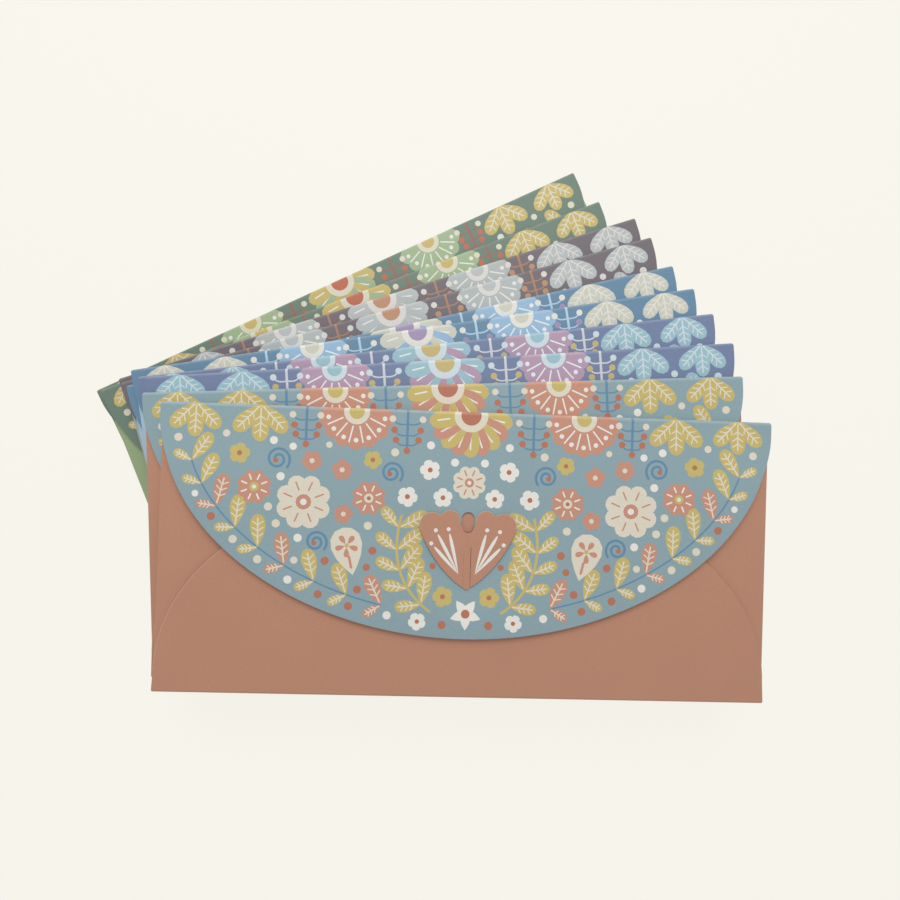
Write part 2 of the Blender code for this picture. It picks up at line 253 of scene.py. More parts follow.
# Colours as sRGB from 0 to 255
PALETTES = {
    "green": (
        (105, 125, 112), (158, 178, 140), (196, 177, 108), (216, 212, 190),
        (150, 100, 84), (226, 226, 216), (186, 104, 78),
    ),
    "brown": (
        (109, 102, 108), (176, 183, 182), (182, 187, 188), (216, 213, 208),
        (168, 124, 98), (226, 226, 220), (186, 140, 108),
    ),
    "blue": (
        (100, 136, 163), (150, 184, 212), (204, 205, 190), (226, 224, 216),
        (176, 206, 224), (230, 234, 232), (160, 146, 180),
    ),
    "violet": (
        (112, 127, 160), (178, 150, 174), (154, 189, 200), (204, 218, 224),
        (206, 208, 214), (228, 232, 234), (196, 177, 120),
    ),
    "teal": (
        (138, 163, 170), (197, 142, 120), (198, 179, 106), (222, 214, 196),
        (94, 136, 166), (232, 230, 222), (180, 112, 86),
    ),
}
BODY_COLOURS = {
    "green": (150, 168, 128),
    "brown": (172, 176, 174),
    "blue": (168, 196, 212),
    "violet": (172, 180, 206),
    "teal": (186, 135, 110),
}
CORE_COLOUR = (226, 219, 203)
# Painted highlight on edges that catch the light: how far it goes from the body's colour towards the
# core colour
EDGE_HIGHLIGHT_SHARE = 0.30
GLUE_COLOUR = (226, 222, 208)
BACKDROP_COLOUR = (246, 244, 235)
CHANNEL_MOST = 255

# The sRGB curve: where its straight part ends, that part's slope, and the power above it
SRGB_KNEE = 0.04045
SRGB_SLOPE = 12.92
SRGB_OFFSET = 0.055
SRGB_POWER = 2.4

# Card surface: noises by their scale per metre, the values of each that show, and how much they do
FIBRE_SCALE = 1500
FIBRE_DETAIL = 4
FIBRE_STRETCH = (1, 2.2, 1)
FIBRE_RANGE = (0.3, 0.7)
FIBRE_SHADE = 0.05
CLOUD_SCALE = 55
CLOUD_DETAIL = 2
CLOUD_RANGE = (0.35, 0.65)
CLOUD_MOST = 0.10
CLOUD_BRIGHTNESS = 0.80
RUB_SCALE = 420
RUB_DETAIL = 3
RUB_RANGE = (0.30, 0.62)
RUB_LEAST = 0.3
CREASE_WEAR = 0.45
BUMP_STRENGTH = 0.25
BUMP_DEPTH = 0.00003
BODY_ROUGHNESS = 0.62
FLAP_ROUGHNESS = 0.58
CORE_ROUGHNESS = 0.75
ROUGHNESS_SPREAD = 0.06

# Dried glue, and the floor
RIPPLE_SCALE = 300
RIPPLE_DETAIL = 2
RIPPLE_BRIGHTNESS = 0.88
GLUE_ROUGHNESS = (0.25, 0.45)
FLOOR_ROUGHNESS = 0.9

# Camera, from the top envelope's lower left corner, where the photograph was taken from
CAMERA_PLACE = (0.07927, 0.07148, 0.15538)
CAMERA_TARGET = (0.08401, 0.07281, 0.00195)
CAMERA_ROLL = radians(1.93)
CAMERA_LENS = 20.895
SENSOR = 36
CLIP_START = 0.01

# Light: one round lamp above the top edge, near enough to fall off towards the bottom
LAMP_PLACE = (-0.01, 0.36, 0.45)
LAMP_POWER = 1.97
LAMP_SIZE = 0.36
SKY_STRENGTH = 0.50
FLOOR_HALF = 4.0
FLOOR_DROP = 0.0001
SHADOW_SHARE = 0.08
GLOW_STRENGTH = 1.02

Envelope = namedtuple("Envelope", "name colour angle matrix")

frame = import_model()


def hinge_angle(name):
    """How far the CAD lets this envelope turn, in radians; the lowest one is fixed."""
    for joint in frame["joints"]:
        if joint["child"] == name:
            return radians(joint["range_deg"][1])
    return 0.0


def own_corners(name, angle):
    """Lowest and highest corner of an envelope's CAD nodes, along its own turned axes."""
    turn = np.array(Matrix.Rotation(-angle, 3, "Z"))
    reach = []
    for node, piece in frame["nodes"].items():
        if node.startswith(name + "_"):
            places = np.array([vertex.co for vertex in piece.data.vertices]) @ turn.T
            reach += [places.min(axis=0), places.max(axis=0)]
    return np.min(reach, axis=0), np.max(reach, axis=0)


def read_envelopes():
    """The envelopes from the lowest up, and the width and height that they share."""
    names = [body for body in frame["bodies"] if body + "_back_panel" in frame["nodes"]]
    names.sort(key=lambda name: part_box(name + "_back_panel")[0].z)
    spread = hinge_angle(names[-1])
    found = []
    for name in names:
        angle = spread - hinge_angle(name)
        low, high = own_corners(name, angle)
        matrix = Matrix.Rotation(angle, 4, "Z") @ Matrix.Translation(low)
        found.append(Envelope(name, name.split("_")[0], angle, matrix))
    return found, high - low


ENVELOPES, SPAN = read_envelopes()
TOP = ENVELOPES[-1].name
WIDTH = float(SPAN[0])
HEIGHT = float(SPAN[1])
HALF = WIDTH / 2

# Sheet levels, from the top envelope's CAD panels
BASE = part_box(TOP + "_back_panel")[0].z
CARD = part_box(TOP + "_back_panel")[1].z - BASE
BACK, SIDE, POCKET, FLAP, WING = range(5)
LEVEL_STEP = (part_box(TOP + "_closing_flap")[1].z - BASE - CARD) / FLAP
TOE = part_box(TOP + "_closing_flap")[0].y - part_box(TOP + "_pocket_panel")[0].y
POCKET_DEPTH = HEIGHT - POCKET_TOP_INSET
CLASP_TIP = POCKET_DEPTH - CLASP_TOP_INSET - CLASP_HEIGHT


def level_height(level):
    return level * LEVEL_STEP + CARD / 2


def fold_radius(level):
    """Middle radius of the fold from the back's level up to this one."""
    return level * LEVEL_STEP / 2


def fold_line(level):
    """How far inside the envelope's edge that fold starts."""
    return fold_radius(level) + CARD / 2


TOP_LINE = HEIGHT - fold_line(FLAP)
FLAP_TOE = TOP_LINE - TOE - FLAP_TRIM


def flap_depth(rise):
    """How far down the flat flap a point lies that is this far above the clasp's tip."""
    return TOP_LINE - CLASP_TIP - rise


# Folding the flat blank


def roll(reach, radius):
    """Way out and way up of a sheet that has gone this far past the start of a half-turn fold."""
    turn = np.clip(reach / radius, 0, pi)
    return radius * np.sin(turn) - np.maximum(reach - pi * radius, 0), radius * (1 - np.cos(turn))


def smooth(share):
    share = np.clip(share, 0, 1)
    return share * share * (3 - 2 * share)


def fullness(across, height, most):
    """How far the pocket, and what lies on it, swells away from the folds round it."""
    from_end = HALF - np.abs(across - HALF)
    from_fold = np.minimum(height, HEIGHT - height)
    return most * smooth(from_end / BELLY_RISE) * smooth(from_fold / BELLY_RISE)


def rim_lift(across, height, most):
    """How far the pocket's rim stands up between the closing flap, the ends and the bottom fold."""
    rise = np.maximum(height - POCKET_SIDE, 0) / (POCKET_DEPTH - POCKET_SIDE)
    reach = np.hypot((across - HALF) / HALF, rise)
    from_end = HALF - np.abs(across - HALF)
    bare = smooth(from_end / RIM_PEAK) * (1 - smooth((from_end - RIM_PEAK) / (RIM_END - RIM_PEAK)))
    from_fold = smooth((height - fold_line(POCKET)) / POCKET_SIDE)
    return most * bare * from_fold * smooth((reach - RIM_START_SHARE) / (1 - RIM_START_SHARE))


def body_surface(across, along, belly, rim):
    """Middle of the body skin, for points of the blank; along falls below 0 on the pocket panel."""
    side = fold_line(SIDE)
    bottom = fold_line(POCKET)
    left_out, left_up = roll(side - across, fold_radius(SIDE))
    right_out, right_up = roll(across - (WIDTH - side), fold_radius(SIDE))
    out, up = roll(bottom - along, fold_radius(POCKET))
    folded = [side - left_out, WIDTH - side + right_out]
    folded_x = np.select([across < side, across > WIDTH - side], folded, across)
    pocket = along < bottom
    x = np.where(pocket, across, folded_x)
    y = np.where(pocket, bottom - out, along)
    relief = fullness(across, y, belly) + rim_lift(across, y, rim)
    z = CARD / 2 + np.where(pocket, up + relief, left_up + right_up)
    return np.stack([x, y, z], axis=-1)


def flap_lift(across, depth, most):
    """How far the closing flap stands up: most along its curved edge, nothing at fold and clasp."""
    reach = np.hypot((across - HALF) / HALF, np.maximum(depth, 0) / FLAP_TOE)
    from_clasp = np.hypot(across - HALF, depth - flap_depth(CLASP_HEIGHT / 2))
    edge = smooth((reach - LIFT_START_SHARE) / (1 - LIFT_START_SHARE))
    return most * edge * smooth(depth / FOLD_HOLD) * smooth(from_clasp / CLASP_HOLD - 1 / 2)


def flap_surface(across, depth, lift, belly):
    """Middle of the flap skin; depth is 0 where the flat flap starts and below 0 round its fold."""
    turn = np.clip(-depth / fold_radius(FLAP), 0, pi)
    y = TOP_LINE + fold_radius(FLAP) * np.sin(turn) - np.maximum(depth, 0)
    relief = flap_lift(across, depth, lift) + fullness(across, HEIGHT - depth, belly)
    z = CARD / 2 + fold_radius(FLAP) * (1 + np.cos(turn)) + relief
    return np.stack([across, y, z], axis=-1)


def wing_surface(across, height, curl, belly):
    """Middle of the clasp at the wings' level; across is from its middle line."""
    share = np.clip((np.abs(across) - SPINE_WIDTH / 2) / CLASP_HALF_WIDTH, 0, 1)
    relief = curl * share**2 + fullness(across + HALF, height + CLASP_TIP, belly)
    return np.stack([across + HALF, height + CLASP_TIP, level_height(WING) + relief], axis=-1)


# Outlines on the flat blank


def arc(centre, radius, start, end, steps):
    return [around(centre, radius, turn) for turn in np.linspace(start, end, steps + 1)]


def bezier(start, control, end, steps):
    points = []
    for share in np.linspace(0, 1, steps + 1):
        near = (1 - share) ** 2
        middle = 2 * share * (1 - share)
        far = share**2
        points.append(tuple(near * a + middle * b + far * c for a, b, c in zip(start, control, end)))
    return points


def edge_turns():
    """Steps along the curved edges of flap and pocket, from the right side to the left."""
    return np.linspace(0, pi, EDGE_STEPS + 1)


def flap_edge(turn, inset=0.0):
    """Place this far inside the flap's curve, and the way out; turn goes from right to left.

    The curve is flatter between its sides and its toe than the half ellipse that it follows, and
    it draws in by the taper over the first share of the way down.
    """
    side = FLAP_SIDE - fold_line(FLAP)
    taper = FLAP_TAPER * float(smooth(sin(turn) / FLAP_TAPER_SHARE))
    reach = (HALF - taper, FLAP_TOE - side)
    out = atan2(sin(turn) / reach[1], cos(turn) / reach[0])
    place = (HALF + reach[0] * cos(turn), side + reach[1] * sin(turn))
    return around(place, -inset - FLAP_HOLLOW * sin(2 * turn) ** 2, out), out


def corner_inset(distance):
    """How far a rounded corner pulls the side in, this far from the envelope's end."""
    short = max(CORNER_RADIUS - distance, 0)
    return CORNER_RADIUS - (CORNER_RADIUS**2 - short**2) ** 0.5


def fold_turns():
    return [pi * step / FOLD_STEPS for step in range(FOLD_STEPS + 1)]


def flap_outline():
    """Closing flap and its fold, from the back's level on the left, down and round."""
    radius = fold_radius(FLAP)
    left = []
    for turn in reversed(fold_turns()):
        left.append((corner_inset(fold_line(FLAP) - radius * sin(turn)), -radius * turn))
    right = [(WIDTH - x, depth) for x, depth in reversed(left)]
    curve = [flap_edge(turn)[0] for turn in edge_turns()]
    return left + curve[::-1] + right


def pocket_along(height):
    """Place along the blank of a pocket point at this height above the bottom fold."""
    return 2 * fold_line(POCKET) - pi * fold_radius(POCKET) - height


def pocket_arch():
    """Upper edge of the pocket on the blank, a half ellipse from the right side to the left."""
    across = [HALF + (HALF - POCKET_TAPER) * cos(turn) for turn in edge_turns()]
    height = [POCKET_SIDE + (POCKET_DEPTH - POCKET_SIDE) * sin(turn) for turn in edge_turns()]
    return [(x, pocket_along(y)) for x, y in zip(across, height)]


def pocket_left_side():
    """Left side of the bottom fold, going down the blank."""
    line = fold_line(POCKET)
    radius = fold_radius(POCKET)
    return [(corner_inset(line - radius * sin(turn)), line - radius * turn) for turn in fold_turns()[1:]]


def side_flap_left():
    """Left side flap and its fold on the blank, from the top down."""
    line = fold_line(SIDE)
    crease = line - pi * fold_radius(SIDE)
    free = crease - (SIDE_FLAP_WIDTH - line)
    low = fold_line(POCKET) + PANEL_GAP
    high = TOP_LINE - PANEL_GAP
    return [
        (line, high), (crease, high), (free, high - SIDE_FLAP_SLANT),
        (free, low + SIDE_FLAP_SLANT), (crease, low), (line, low),
    ]


def body_outline():
    """Back panel, side flaps and pocket panel as one blank."""
    line = fold_line(SIDE)
    left = [(line, TOP_LINE), *side_flap_left(), (line, fold_line(POCKET)), *pocket_left_side()]
    right = [(WIDTH - x, y) for x, y in reversed(left)]
    return left + pocket_arch()[::-1] + right


def lobe_valley(outer, inner):
    """Upper crossing of the wing's two lobe circles."""
    across = (outer[0] - inner[0], outer[1] - inner[1])
    apart = hypot(*across)
    along = (apart**2 + INNER_LOBE_RADIUS**2 - OUTER_LOBE_RADIUS**2) / (2 * apart)
    rise = (INNER_LOBE_RADIUS**2 - along**2) ** 0.5
    unit = (across[0] / apart, across[1] / apart)
    return (inner[0] + unit[0] * along - unit[1] * rise, inner[1] + unit[1] * along + unit[0] * rise)


def edge_control():
    """Control point of the curve from the clasp's tip up to its outer lobe."""
    return (CLASP_HALF_WIDTH * EDGE_CONTROL_SHARES[0], CLASP_HEIGHT * EDGE_CONTROL_SHARES[1])


def tip_height(inset):
    """Height of the clasp's pointed lower end at this distance from its middle line."""
    control = edge_control()
    return inset * control[1] / control[0]


def half_clasp(inset):
    """Right outer edge of the clasp above its tip, from this far out and up over both lobes."""
    outer = (CLASP_HALF_WIDTH - OUTER_LOBE_RADIUS, CLASP_HEIGHT - OUTER_LOBE_DROP - OUTER_LOBE_RADIUS)
    inner = (INNER_LOBE_OFFSET, CLASP_HEIGHT - INNER_LOBE_RADIUS)
    shoulder = -asin(SHOULDER_DROP_SHARE)
    touch = around(outer, OUTER_LOBE_RADIUS, shoulder)
    valley = lobe_valley(outer, inner)
    outer_end = atan2(valley[1] - outer[1], valley[0] - outer[0])
    inner_start = atan2(valley[1] - inner[1], valley[0] - inner[0])
    edge = bezier((inset, tip_height(inset)), edge_control(), touch, LOBE_STEPS)
    outer_lobe = arc(outer, OUTER_LOBE_RADIUS, shoulder, outer_end, LOBE_STEPS)[1:]
    inner_lobe = arc(inner, INNER_LOBE_RADIUS, inner_start, pi - shoulder, LOBE_STEPS)[1:]
    return [*edge, *outer_lobe, *inner_lobe]


def cleft_foot():
    """Where the two wings meet between their inner lobes."""
    return (0, CLASP_HEIGHT - CLEFT_DEPTH)


def cleft_curve():
    """The wing's inner edge, from where it turns in towards the other wing, short of the foot."""
    middle = (0, CLASP_HEIGHT - CLEFT_DEPTH + CLEFT_RADIUS)
    return arc(middle, CLEFT_RADIUS, 0, -pi / 2, CLEFT_STEPS)[:-1]


def loop_sides(loop):
    return zip(loop, loop[1:] + loop[:1])


def flipped(outline):
    """The same outline on the other side of the middle line."""
    return [(-x, y) for x, y in reversed(outline)]


def clasp_window():
    """The opening that the raised wings leave in the pocket panel, on the blank."""
    half = SPINE_WIDTH / 2
    side = half_clasp(half) + cleft_curve()
    outline = [*side, cleft_foot(), *flipped(side), (-half, SPINE_HEIGHT), (half, SPINE_HEIGHT)]
    return [(HALF + x, pocket_along(CLASP_TIP + y)) for x, y in outline]


def whole_clasp():
    side = half_clasp(0) + cleft_curve()
    return [*side, cleft_foot(), *flipped(side)[:-1]]


def wing_outline(gap):
    """The right front wing: beside the spine, and up to the other wing above the spine's head."""
    inset = SPINE_WIDTH / 2 + gap
    foot = SPINE_HEIGHT + WING_SLIT
    cleft = [*cleft_curve(), (WING_SLIT, cleft_foot()[1])]
    return [*half_clasp(inset), *cleft, (WING_SLIT, foot), (inset, foot)]


def lobe_tops(turn):
    """Upper edge of a wing, over both of its lobes, which gets a painted highlight."""
    tops = half_clasp(0)[LOBE_STEPS:]
    return [(turn * x, y) for x, y in tops]


def spine_outline():
    """The strip between the front wings, with the clasp's pointed tip."""
    half = SPINE_WIDTH / 2
    foot = [(-half, tip_height(half)), (0, 0), (half, tip_height(half))]
    return [*foot, (half, SPINE_HEIGHT), (-half, SPINE_HEIGHT)]


def slot_outline():
    """Round-ended slot in the closing flap, which the clasp passes through."""
    radius = SLOT_WIDTH / 2
    foot = (HALF, flap_depth(SLOT_FOOT) - radius)
    head = (HALF, flap_depth(CLASP_HEIGHT) + SLOT_HEAD_DROP + radius)
    return arc(foot, radius, 0, pi, SLOT_STEPS) + arc(head, radius, pi, 2 * pi, SLOT_STEPS)


# Print motifs, each a list of (ink, outline)


def moved(outline, place, turn=0.0):
    """An outline turned about the origin, then shifted."""
    c, s = cos(turn), sin(turn)
    return [(place[0] + c * x - s * y, place[1] + s * x + c * y) for x, y in outline]


def around(place, reach, bearing):
    """The point this far from a place."""
    return (place[0] + reach * cos(bearing), place[1] + reach * sin(bearing))


def evenly(count, span, start=0.0):
    """Evenly spaced bearings over a span."""
    return [start + span * step / count for step in range(count)]


def disc(place, radius, steps=DOT_STEPS):
    return arc(place, radius, 0, 2 * pi, steps)[:-1]


def drop_outline(length, width):
    """Drop pointing back to the origin, its round end away along x."""
    points = []
    for turn in evenly(CURVE_STEPS, 2 * pi):
        swell = sin(turn) * abs(sin(turn / 2)) / DROP_FULLNESS_SHARE
        points.append((length * (1 - cos(turn)) / 2, width / 2 * swell))
    return points


def stroke(path, width):
    """A line of this width along a path, with round ends."""
    path = np.array(path)
    heading = np.gradient(path, axis=0)
    turns = np.arctan2(heading[:, 1], heading[:, 0])
    right = [around(point, width / 2, turn - pi / 2) for point, turn in zip(path, turns)]
    left = [around(point, width / 2, turn + pi / 2) for point, turn in zip(path, turns)]
    end_cap = arc(path[-1], width / 2, turns[-1] - pi / 2, turns[-1] + pi / 2, CAP_STEPS)[1:-1]
    start_cap = arc(path[0], width / 2, turns[0] + pi / 2, turns[0] + 3 * pi / 2, CAP_STEPS)[1:-1]
    return right + end_cap + left[::-1] + start_cap


def radial_line(place, radius, shares, bearing, width=FINE_LINE):
    """A straight line out from a place, between shares of a radius."""
    return stroke([around(place, radius * share, bearing) for share in shares], width)


def drop(place, turn, length, ink):
    """A leaf-like drop with a pale rib and paired veins."""
    width = length * DROP_WIDTH / DROP_LENGTH
    shapes = [(ink, moved(drop_outline(length, width), place, turn))]
    shapes.append(("pale", radial_line(place, length, DROP_RIB_SHARES, turn)))
    for root in DROP_VEIN_SHARES:
        for side in (-1, 1):
            vein = [(root * length + x * width, side * y * width) for x, y in DROP_VEIN_PATH_SHARES]
            shapes.append(("pale", moved(stroke(vein, FINEST_LINE), place, turn)))
    return shapes


def rings(place, radius, shares):
    return [(ink, disc(place, radius * share, 2 * DOT_STEPS)) for ink, share in shares]


def sunburst(place, radius):
    """Half-round burst of two-coloured drops that opens down from the fold."""
    shapes = []
    width = 2 * radius * sin(pi / SUNBURST_RAYS / 2) * RAY_WIDTH_SHARE
    for number, turn in enumerate(evenly(SUNBURST_RAYS, pi, pi / SUNBURST_RAYS / 2)):
        ink = ("leaf", "petal")[number % 2]
        shapes.append((ink, moved(drop_outline(radius, width), place, turn)))
        shapes.append(("white", radial_line(place, radius, RAY_RIB_SHARES, turn)))
    return shapes + rings(place, radius, SUNBURST_RING_SHARES)


def fan(place, radius):
    """Half-round fan of lobes that opens down from the fold."""
    lobe = radius * sin(pi / FAN_LOBES / 2) * FAN_LOBE_SHARE
    ring = radius - lobe
    turns = evenly(FAN_LOBES, pi, pi / FAN_LOBES / 2)
    shapes = [("petal", disc(around(place, ring, turn), lobe)) for turn in turns]
    shapes.append(("petal", disc(place, ring, 2 * DOT_STEPS)))
    for turn in evenly(FAN_LOBES, pi)[1:]:
        shapes.append(("white", radial_line(place, radius, FAN_RIB_SHARES, turn)))
    for turn in turns:
        shapes.append(("white", disc(around(place, ring, turn), lobe * FAN_DOT_SHARE)))
    return shapes + rings(place, radius, FAN_RING_SHARES)


def rosette(place, radius, petal_ink, heart_ink):
    """Round flower of drops, each with a rib."""
    shapes = []
    width = 2 * radius * sin(pi / ROSETTE_PETALS) * PETAL_WIDTH_SHARE
    rib_ink = "petal" if petal_ink == "pale" else "white"
    for turn in evenly(ROSETTE_PETALS, 2 * pi, pi / ROSETTE_PETALS):
        shapes.append((petal_ink, moved(drop_outline(radius, width), place, turn)))
        shapes.append((rib_ink, radial_line(place, radius, ROSETTE_RIB_SHARES, turn)))
    shapes.append((heart_ink, disc(place, radius * HEART_SHARE)))
    shapes.append(("berry" if heart_ink == "pale" else "white", disc(place, radius * EYE_SHARE)))
    return shapes


def spiral(place, radius):
    """A tendril that winds in to a dot."""
    path = []
    for share in np.linspace(0, 1, ceil(SPIRAL_TURNS * 2 * DOT_STEPS)):
        reach = radius * (1 - SPIRAL_CLOSING_SHARE * share)
        path.append(around(place, reach, SPIRAL_START + 2 * pi * SPIRAL_TURNS * share))
    return [("line", stroke(path, STEM_LINE)), ("berry", disc(path[-1], STEM_LINE))]


def sprig(place, length):
    """A stem hanging from the fold with berries on side branches."""
    across, down = place
    tip = (across, down + length)
    shapes = [("line", stroke([(across, down), (across, down + length / 2), tip], STEM_LINE))]
    shapes.append(("berry", disc(tip, BERRY_RADIUS)))
    for number, share in enumerate(SPRIG_BRANCH_SHARES):
        root = (across, down + share * length)
        reach = length * (SPRIG_REACH_SHARES[0] - SPRIG_REACH_SHARES[1] * share)
        for side in (-1, 1):
            end = (root[0] + side * reach, root[1] - SPRIG_RISE_SHARE * length)
            bend = (root[0] + side * SPRIG_BEND_SHARE * reach, root[1] + SPRIG_SAG_SHARE * length)
            shapes.append(("line", stroke(bezier(root, bend, end, BRANCH_STEPS), FINE_LINE)))
            shapes.append(("berry" if number else "pale", disc(end, BERRY_RADIUS)))
    return shapes


def tuft(place, length):
    """Leaf-like drops that hang from one point of the fold."""
    return [shape for bearing in TUFT_BEARINGS for shape in drop(place, bearing, length, "leaf")]


def star(place, radius):
    """Small flower with pointed petals."""
    petal = drop_outline(radius, radius * STAR_PETAL_SHARE)
    turns = evenly(STAR_PETALS, 2 * pi, pi / 2)
    shapes = [("white", moved(petal, around(place, radius, turn), turn + pi)) for turn in turns]
    return [*shapes, ("berry", disc(place, radius * HEART_SHARE))]


def paisley(place):
    """A pale drop with a small flower in its round end."""
    shapes = [("pale", drop_outline(PAISLEY_LENGTH, PAISLEY_WIDTH))]
    middle = (PAISLEY_LENGTH * PAISLEY_FLOWER_SHARE, 0)
    heart = PAISLEY_WIDTH * PAISLEY_HEART_SHARE
    petal = drop_outline(*(PAISLEY_WIDTH * share for share in PAISLEY_PETAL_SHARES))
    for turn in evenly(STAR_PETALS, 2 * pi, pi / ROSETTE_PETALS):
        shapes.append(("petal", moved(petal, around(middle, heart, turn), turn)))
    shapes.append(("leaf", disc(middle, heart)))
    shapes.append(("petal", radial_line((0, 0), PAISLEY_LENGTH, PAISLEY_STEM_SHARES, 0, STEM_LINE)))
    return [(ink, moved(outline, place, PAISLEY_BEARING)) for ink, outline in shapes]


def edge_point(turn, inset):
    """Place this far inside the flap's curve, across from its middle line, and the way out."""
    place, out = flap_edge(turn, inset)
    return (place[0] - HALF, place[1]), out


def garland():
    """A stem that keeps inside the curved edge, with drops on both sides."""
    turns = np.linspace(*GARLAND_ENDS, STEPS_PER_DROP * GARLAND_DROPS)
    shapes = [("line", stroke([edge_point(turn, GARLAND_INSET)[0] for turn in turns], FINE_LINE))]
    for number, turn in enumerate(np.linspace(*GARLAND_ENDS, GARLAND_DROPS)):
        place, out = edge_point(turn, GARLAND_INSET)
        ink = GARLAND_INKS[number % len(GARLAND_INKS)]
        for lean, share in zip(GARLAND_LEANS, GARLAND_DROP_SHARES):
            shapes += drop(place, out + lean, DROP_LENGTH * share, ink)
    return shapes


def spray():
    """A bent stem of drops beside the clasp."""
    path = bezier(SPRAY_ROOT, SPRAY_BEND, SPRAY_TIP, STEPS_PER_DROP * SPRAY_DROPS)
    shapes = [("leaf", stroke(path, STEM_LINE))]
    roots = path[STEPS_PER_DROP // 2::STEPS_PER_DROP]
    for here, after in zip(roots, path[STEPS_PER_DROP::STEPS_PER_DROP]):
        heading = atan2(after[1] - here[1], after[0] - here[0])
        for side, share in zip((1, -1), SPRAY_DROP_SHARES):
            shapes += drop(here, heading + side * SPRAY_LEAN, DROP_LENGTH * share, "leaf")
    return shapes


def blossom(place, radius, number):
    """Small round filler flower."""
    ink = BLOSSOM_INKS[number % len(BLOSSOM_INKS)]
    petal = drop_outline(radius, radius * BLOSSOM_PETAL_SHARE)
    shapes = [(ink, moved(petal, place, turn)) for turn in evenly(STAR_PETALS, 2 * pi, number)]
    shapes.append(("pale" if ink == "petal" else "berry", disc(place, radius * BLOSSOM_HEART_SHARE)))
    return shapes


def inside(points, outline):
    """Which points lie inside an outline."""
    within = np.zeros(len(points), bool)
    for (x0, y0), (x1, y1) in loop_sides(outline):
        if y0 == y1:
            continue
        crosses = (points[:, 1] < y0) != (points[:, 1] < y1)
        at = x0 + (points[:, 1] - y0) * (x1 - x0) / (y1 - y0)
        within ^= crosses & (points[:, 0] < at)
    return within


def outline_clearance(points, outline):
    """Distance of points from an outline, 0 inside it."""
    nearest = np.full(len(points), HALF)
    for start, end in loop_sides(outline):
        start, step = np.array(start), np.subtract(end, start)
        share = np.clip((points - start) @ step / max(step @ step, MERGE**2), 0, 1)
        nearest = np.minimum(nearest, np.hypot(*(points - start - share[:, None] * step).T))
    nearest[inside(points, outline)] = 0
    return nearest


def free_room(shapes):
    """Grid points on half of the flap, and how far each is from every shape."""
    across = np.arange(FILL_SPACING / 2, HALF, FILL_SPACING)
    down = np.arange(FILL_EDGE, FLAP_TOE, FILL_SPACING)
    points = np.array([(x, y) for x in across for y in down])
    points = points[inside(points, [edge_point(turn, FILL_EDGE)[0] for turn in edge_turns()])]
    room = np.minimum(points[:, 0], points[:, 1] - FILL_FOLD)
    for _, outline in shapes:
        middle = np.mean(outline, axis=0)
        size = max(hypot(*np.subtract(point, middle)) for point in outline)
        close = np.hypot(*(points - middle).T) - size < room
        room[close] = np.minimum(room[close], outline_clearance(points[close], outline))
    return points, room


def fillers(shapes):
    """Blossoms and dots in the room that the motifs leave, the largest room first."""
    points, room = free_room(shapes)
    added = []
    blossoms = 0
    dots = 0
    while room.max() > FILL_LEAST:
        best = int(room.argmax())
        place = tuple(points[best])
        if room[best] > BLOSSOM_LEAST:
            radius = min(room[best] - FILL_GAP, BLOSSOM_MOST)
            added += blossom(place, radius, blossoms)
            blossoms += 1
        else:
            radius = min(room[best] - FILL_GAP, DOT_MOST)
            added.append((DOT_INKS[dots % len(DOT_INKS)], disc(place, radius)))
            dots += 1
        room = np.minimum(room, np.hypot(*(points - place).T) - radius - FILL_PITCH)
    return added


def placed(*groups):
    """Motifs, each drawn at every place that its rows give."""
    shapes = []
    for motif, rows in groups:
        for across, down, *sizes in rows:
            shapes += motif((across, down), *sizes)
    return shapes


def side_motifs():
    """The print's motifs on one half of the flap, apart from the fillers."""
    shapes = garland() + spray() + placed((fan, FANS), (rosette, ROSETTES), (spiral, SPIRALS))
    return shapes + placed((sprig, SPRIGS), (tuft, TUFTS), (paisley, PAISLEYS))


def middle_motifs():
    """The motifs on the flap's middle line."""
    return placed((sunburst, SUNBURSTS), (rosette, MIDDLE_ROSETTES), (star, STARS))


def whole_print():
    """All the print's shapes on the flap, across from its left side and down from its fold."""
    middle = middle_motifs()
    half = side_motifs()
    clasp = [(x, flap_depth(y)) for x, y in whole_clasp()]
    half += fillers(half + middle + [("ground", clasp)])
    shapes = [(ink, [(HALF + x, y) for x, y in outline]) for ink, outline in middle + half]
    return shapes + [(ink, [(HALF - x, y) for x, y in outline]) for ink, outline in half]


# Meshes


def counterclockwise(outline):
    area = sum(x0 * y1 - x1 * y0 for (x0, y0), (x1, y1) in loop_sides(outline))
    return outline if area > 0 else outline[::-1]


def guides(outline, folds_across=(), folds_along=()):
    """Straight cuts over an outline, so that its faces can follow relief and folds."""
    low = np.min(outline, axis=0)
    high = np.max(outline, axis=0)
    lines = []
    for axis, folds in ((0, folds_across), (1, folds_along)):
        count = ceil((high[axis] - low[axis]) / GUIDE_SPACING)
        even = [low[axis] + (high[axis] - low[axis]) * step / count for step in range(1, count)]
        for value in [*even, *folds]:
            ends = np.array([low, high])
            ends[:, axis] = value
            lines.append(ends.tolist())
    return lines


